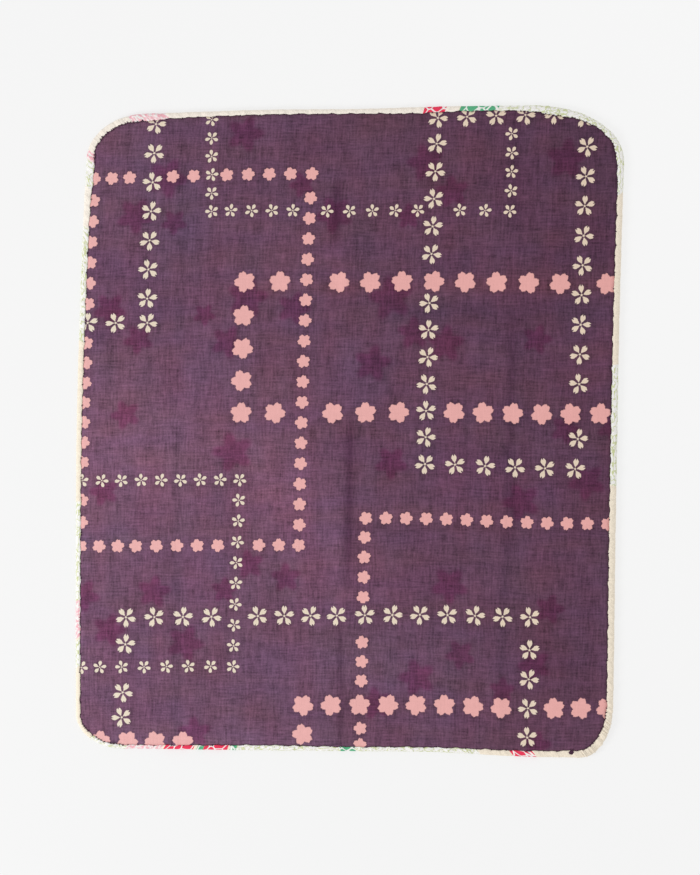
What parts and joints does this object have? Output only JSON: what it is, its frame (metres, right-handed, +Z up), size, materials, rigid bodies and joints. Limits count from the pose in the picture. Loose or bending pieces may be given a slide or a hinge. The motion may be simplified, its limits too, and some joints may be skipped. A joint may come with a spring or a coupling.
{
  "type": "two-ply handkerchief",
  "caption": "Two-ply cotton handkerchief lying flat, a resist-dyed blossom print in front and a plainer back cloth rolled up round the edge.",
  "frame": {"origin": "middle of the cloth's outline, on the surface it rests on", "axes": "+X to the cloth's right side and +Y to its upper side as seen from above, +Z up out of the printed front"},
  "size_m": [0.2958, 0.3518, 0.0035],
  "materials": {
    "front_cotton": "resist-dyed purple plain-weave cotton with cream and pink blossoms, matt",
    "back_cotton": "printed cream plain-weave cotton, soft and matt"
  },
  "bodies": {
    "root": {"back_cloth": "back_cotton", "front_cloth": "front_cotton"}
  },
  "joints": []
}
